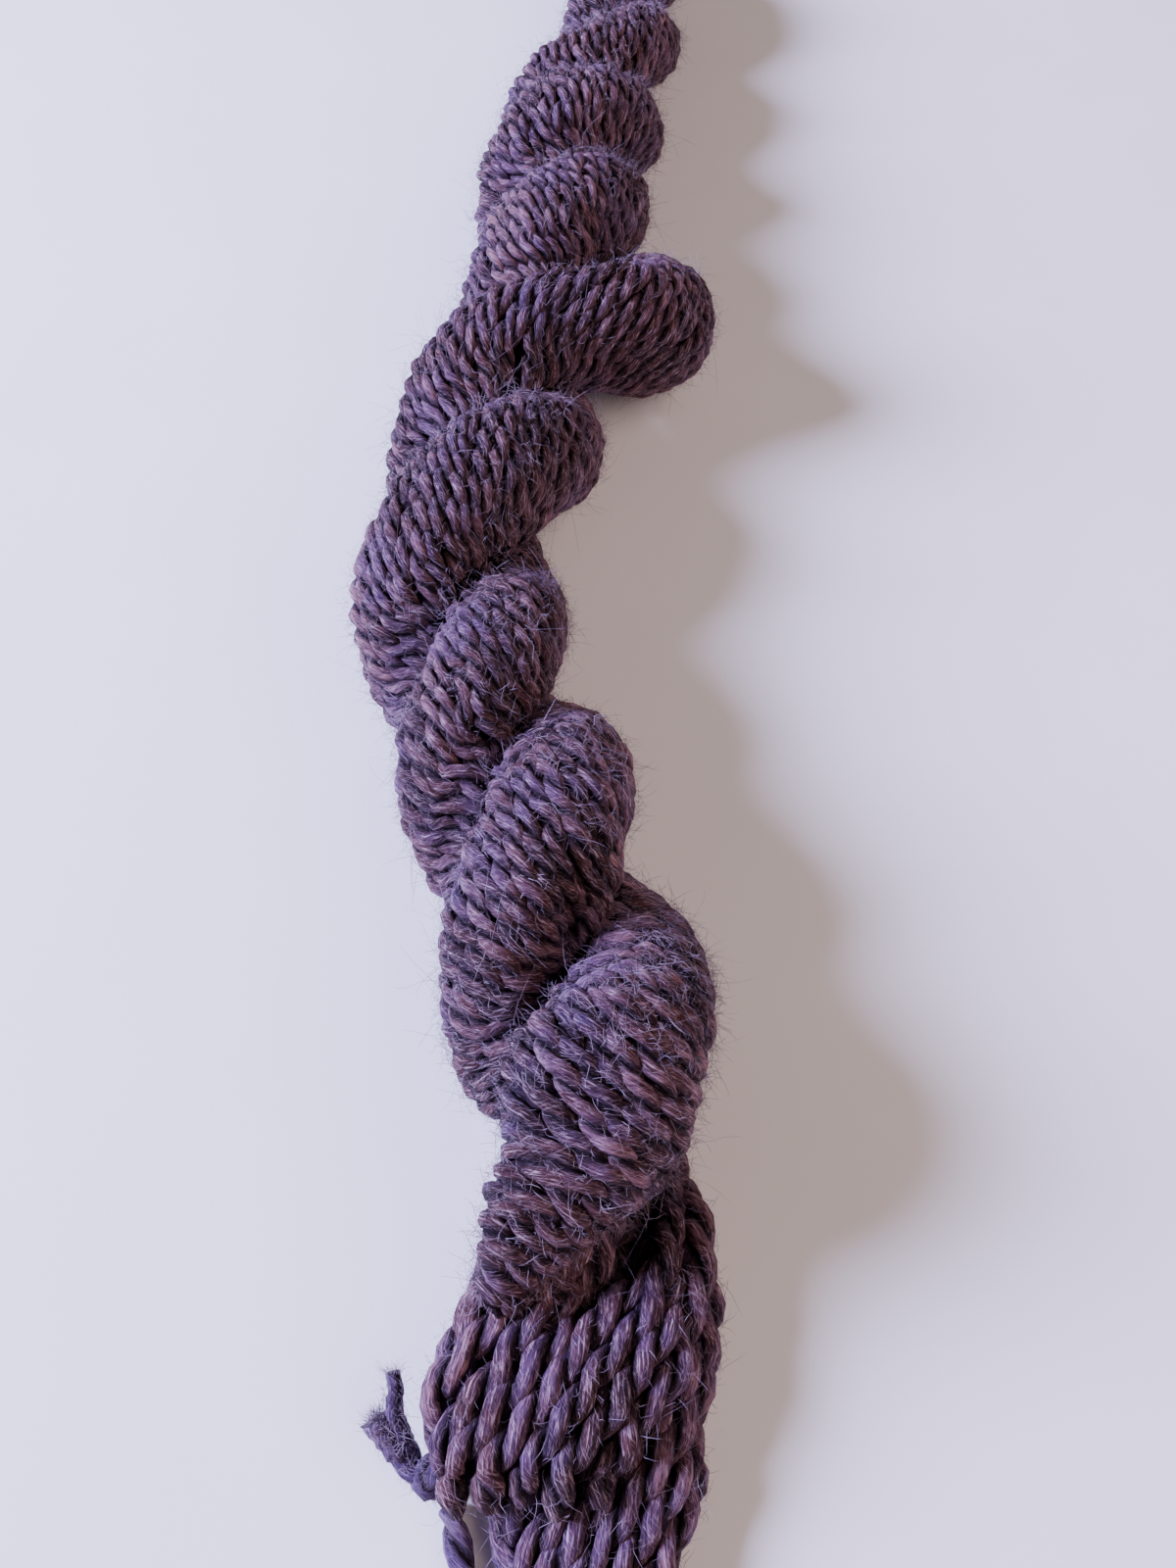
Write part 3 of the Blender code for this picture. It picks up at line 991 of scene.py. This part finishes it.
def frayed_end(name, ply, count, material):
    """Loose fibres that stick out of a ply's cut end, about the way it points."""
    line, away, _ = ply
    ahead = unit(line[-1] - line[-3])
    out = unit(away[-1])
    aside = np.cross(ahead, out)
    spread = rng.normal(0, 0.38, (count, 2, 1))
    go = unit(ahead + spread[:, 0] * out + spread[:, 1] * aside)
    root = line[-1] - ahead * 0.6 + spread[:, 0] * out + spread[:, 1] * aside
    bend = rng.normal(0, 0.35, (count, 3))
    length = rng.uniform(1.0, 2.4, count)
    outs, asides = np.tile(out, (count, 1)), np.tile(aside, (count, 1))
    return fibres(name, root, go, bend, length, outs, asides, 5, material)


def fibres(name, root, go, bend, length, out, aside, stations, material):
    """Fine three-sided fibres, pointed at both ends and curved.

    At a share S of its length a fibre's middle is S along its start's way, plus the
    square of S along its bend and a sine wave of S to the side.
    """
    count = len(root)
    part = np.linspace(0, 1, stations)[None, :, None]
    reach = length[:, None, None]
    line = root[:, None] + go[:, None] * part * reach
    line = line + bend[:, None] * part**2 * reach * 0.6
    wave = np.sin(part * rng.uniform(3, 8, (count, 1, 1)) + rng.uniform(0, 6.3, (count, 1, 1)))
    line = line + aside[:, None] * wave * 0.11 * reach
    line[..., 2] = np.maximum(line[..., 2], 0.1)
    forward = unit(np.gradient(line, axis=1))
    side = unit(np.cross(forward, out[:, None] + 0.3 * aside[:, None]))
    over = np.cross(side, forward)
    radius = rng.uniform(FIBRE * 0.35, FIBRE * 0.6, (count, 1, 1)) * (1.0 - 0.5 * part**2)
    way = np.arange(3) * 2 * np.pi / 3
    rings = line[:, :, None] + radius[..., None] * (
        np.cos(way)[:, None] * side[:, :, None] + np.sin(way)[:, None] * over[:, :, None]
    )
    points = np.concatenate((rings[:, 1:-1].reshape(count, -1, 3), line[:, [0, -1]]), axis=1)
    size = points.shape[1]
    spot = np.arange(3)
    beside = (spot + 1) % 3
    ring = 3 * np.arange(stations - 3)[:, None]
    quads = np.stack((ring + spot, ring + 3 + spot, ring + 3 + beside, ring + beside), -1)
    last = size - 5
    root_tip = np.column_stack((np.full(3, size - 2), spot, beside))
    free_tip = np.column_stack((np.full(3, size - 1), last + beside, last + spot))
    start = (np.arange(count) * size)[:, None, None]
    quads = (start + quads.reshape(1, -1, 4)).reshape(-1, 4)
    tips = (start + np.concatenate((root_tip, free_tip))[None]).reshape(-1, 3)
    return place_mesh(name, points.reshape(-1, 3), (quads, tips), material)


# ---------------- the wools
# Wool spun as two plies and dyed by hand. Its long fibres lie side by side, so the top of each ply has
# pale streaks, partly painted highlights, and a soft shine, and the grooves between plies have painted
# shade.
WOOL = dyed_wool(
    "hand-dyed two-ply wool",
    ((0.0, "#2d1b1c"), (0.3, "#462a2b"), (0.55, "#573638"), (0.8, "#6a4a54"), (1.0, "#8e646a")),
    violet="#533f6c",
    pale_fibre_and_glint="#e0c0d2",
    dark_fibre="#0e0608",
    shine=0.15,
)
# The tie is another end of such wool. Its dye is greyer and bluer, and it shines more.
TIE_WOOL = dyed_wool(
    "hand-dyed tie wool",
    ((0.0, "#3c2840"), (0.5, "#553e64"), (1.0, "#846a84")),
    violet="#5c4c78",
    pale_fibre_and_glint="#c8a8d0",
    dark_fibre="#1c0f20",
    shine=0.30,
)
# The yarns one layer down are the same wool with painted shade: dark plum, and hardly shiny.
SHADE_PAINTED_WOOL = dyed_wool(
    "hand-dyed wool with painted shade",
    ((0.0, "#23161a"), (0.5, "#2c1c25"), (1.0, "#332236")),
    violet="#2f2340",
    pale_fibre_and_glint="#4c3a4c",
    dark_fibre="#080406",
    shine=0.08,
)
# Wool packed inside the hank gets no light, so it is painted nearly black, as shade, and fully matt.
CORE_WOOL = plain_wool("wool packed inside", "#070405", "#0d080a", roughness=1.0, shine=0.0)
# Single wool fibres hold little dye and catch the light: thin, pale and grey lilac.
FUZZ_WOOL = plain_wool("stray wool fibre", "#4a3a48", "#a592a6", roughness=0.7, shine=0.2)


# ---------------- the tie
def laid(rows, count):
    """A smooth line through a table's rows, with up as its outward side, of full thickness."""
    numbers = np.arange(len(rows["along"]), dtype=float)
    at = np.linspace(0, numbers[-1], count)
    columns = [curve_through(numbers, rows[name], at) for name in ("side", "along", "height")]
    return np.stack(columns, -1), np.tile(UP + (0.01, 0.02, 0.0), (count, 1)), 1.0


def tie_long_end():
    """The tie's long end, loose on the table from the knot to its cut."""
    yarn = laid(LONG_END, 60)
    piece = plied("tie_long_end_yarn", [yarn], TIE_WOOL)
    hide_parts("tie_long_end")


def tie():
    """The tie's knot and short cut end, whose two plies have come apart."""
    knot = laid(TIE_YARN, 120)
    upright, blunt = laid(UPRIGHT_PLY, 30), laid(BLUNT_PLY, 30)
    tubes = two_plies(knot, ring=0.6, sides=9)
    tubes.append(one_ply(upright, thick=(2.3, 1.5)))
    tubes.append(one_ply(blunt, thick=(2.4, 3.2)))
    yarn = joined("tie_yarn", tubes, TIE_WOOL)
    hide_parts("tie")
    ends = [
        yarn,
        frayed_end("upright_ply_end", upright, 60, FUZZ_WOOL),
        frayed_end("blunt_ply_end", blunt, 220, FUZZ_WOOL),
        stray_fibres(
            "tie_fuzz", [knot, upright, blunt], 900,
            shortest=0.5, mean=0.9, stand=0.7, stations=4, material=FUZZ_WOOL,
        ),
    ]


# ---------------- the hank
def top_yarns(middles):
    """The yarns that show, by the name of their stretch or group."""
    ends = {
        "hood_yarns": HOOD_TO,
        "hank_yarns_near_upper": NEAR_TO,
        "hank_yarns_far_upper": FAR_TO,
        "hank_yarns_fold": FAN_END - FAR_TO,
        "hank_yarns_far_lower": FAN_END - NEAR_TO,
        "hank_yarns_near_lower": FAN_END,
    }
    yarns = {}
    start = 0.0
    for name, end in ends.items():
        some = middles[(middles >= start) & (middles < end)]
        yarns[name] = wrapping_yarns(some, ALL_ROUND if start < HOOD_TO else HIDDEN)
        start = end
    yarns["fan_yarns"] = group_yarns(
        FAN, FAN_LEAN, reach=56.0, nose=3.2, back=14.0, edges=(2.95, 3.3)
    )
    yarns["left_group_yarns"] = group_yarns(
        LEFT_GROUP, GROUP_LEAN, reach=34.0, nose=2.2, back=6.0
    )
    return yarns


def yarns_below(middles):
    """The layer under the top one, each yarn between two of it, where the hank is near."""
    between = (middles[:-1] + middles[1:]) / 2
    between = between[(between < NEAR_TO) | (between > FAN_END - NEAR_TO)]
    yarns = wrapping_yarns(between, below=1.5)
    yarns += group_yarns(FAN, FAN_LEAN, reach=54.6, nose=2.0, back=8.0, below=1.4)
    yarns += group_yarns(LEFT_GROUP, GROUP_LEAN, reach=32.6, nose=1.2, back=4.0, below=1.4)
    # Painted shade: the layer below wears the darker copy of the wool.
    return plied("yarns_below", yarns, SHADE_PAINTED_WOOL, ring=2.2, sides=5)


def cores():
    """The wool inside the bundle and its two groups, painted nearly black as shade, DEEP below their
    surfaces.

    Where the bundle's runs face each other it comes to 0.3 mm below them.
    """
    ring = np.linspace(0, 2 * np.pi, 24, endpoint=False)
    deep = np.where(np.cos(ring) > -0.4, DEEP, 0.3)
    bundle = [
        sunk(bundle_point(path, ring, deep), GROOVE, 1.0)
        for path in np.arange(18.0, FAN_END - 36.0, 2.4)
    ]
    fan = [
        sunk(sunk(box_point(FAN, np.array(along), ring, DEEP), HOOD_GAP, 1.0), CHANNEL, 1.0)
        for along in np.arange(-8.0, 52.0, 2.0)
    ]
    fan = np.maximum(fan, (-99, -99, 0.3))
    left_group = [
        sunk(box_point(LEFT_GROUP, np.array(along), ring, DEEP), HOOD_GAP, 1.0)
        for along in np.arange(3.0, 30.0, 2.0)
    ]
    return [
        hidden_core("hank_core", bundle, CORE_WOOL),
        hidden_core("fan_core", fan, CORE_WOOL),
        hidden_core("left_group_core", left_group, CORE_WOOL),
    ]


def hairs(yarns):
    """The stray fibres: short fuzz all over, longer ones, and more at the open end."""
    near, far = [], []
    for name, some in yarns.items():
        half = far if "far" in name or "fold" in name else near
        half.extend(some)
    open_end = yarns["fan_yarns"] + yarns["left_group_yarns"] + yarns["hood_yarns"]
    fuzz = {"shortest": 0.5, "mean": 1.1, "stand": 1.2, "stations": 4, "material": FUZZ_WOOL}
    return [
        stray_fibres("near_fuzz", near, 15500, **fuzz),
        stray_fibres("far_fuzz", far, 10600, **fuzz),
        stray_fibres(
            "stray_fibres", near + far, 6500,
            shortest=1.4, mean=2.6, stand=0.42, stations=6, material=FUZZ_WOOL,
        ),
        stray_fibres(
            "open_end_fuzz", open_end, 1800,
            shortest=1.0, mean=1.9, stand=0.6, stations=5, material=FUZZ_WOOL,
        ),
    ]


def hank():
    """Every piece of the hank: the yarns that show, those below them, the cores, the hairs."""
    middles = yarn_middles(FIRST_YARN, LAST_YARN)
    yarns = top_yarns(middles)
    pieces = []
    for name, some in yarns.items():
        open_group = name in ("fan_yarns", "left_group_yarns")
        pieces.append(plied(name, some, WOOL, GROUP_TURN if open_group else PLY_TURN))
    pieces.append(yarns_below(middles))
    bodies = cores()
    pieces += bodies + hairs(yarns)
    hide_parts("hank")


# ---------------- the studio
def lay_floor():
    """A plain pale table top, a little mottled."""
    mesh = bpy.data.meshes.new("table_top")
    half = 2.0
    mesh.from_pydata(
        [(-half, -half, 0), (half, -half, 0), (half, half, 0), (-half, half, 0)], [], [(0, 1, 2, 3)]
    )
    # Painted board: pale, and matt enough to show no reflection of the hank.
    material = bpy.data.materials.new("pale matt board")
    material.use_nodes = True
    tree = material.node_tree
    shader = tree.nodes["Principled BSDF"]
    place = node(tree, "ShaderNodeTexCoord").outputs["Object"]
    mottle = node(tree, "ShaderNodeTexNoise", Vector=place, Scale=30.0, Detail=4.0)
    shade = node(
        tree, "ShaderNodeValToRGB", stops=((0.3, "#eeedeb"), (0.7, "#f3f2f0")),
        Fac=mottle.outputs["Fac"],
    )
    tree.links.new(shade.outputs["Color"], shader.inputs["Base Color"])
    shader.inputs["Roughness"].default_value = 0.9
    mesh.materials.append(material)
    floor = bpy.data.objects.new("table_top", mesh)
    bpy.context.scene.collection.objects.link(floor)


def light_studio():
    """A cool low window on the left, a weak warm lamp on the right, a faint even glow."""
    area_light("window", (-0.86, 0.0, 0.50), (0.0, -0.02, 0.0), 0.5, 61.0, "#c8c6ff")
    area_light("room", (0.6, -0.3, 0.6), (0.0, 0.0, 0.0), 0.9, 6.5, "#ffe0da")
    world = bpy.data.worlds.new("studio")
    world.use_nodes = True
    background = world.node_tree.nodes["Background"]
    background.inputs["Color"].default_value = linear("#f4ecf6")
    background.inputs["Strength"].default_value = 0.11
    bpy.context.scene.world = world


# ---------------- making
stand_camera()
tie_long_end()
tie()
hank()
lay_floor()
light_studio()
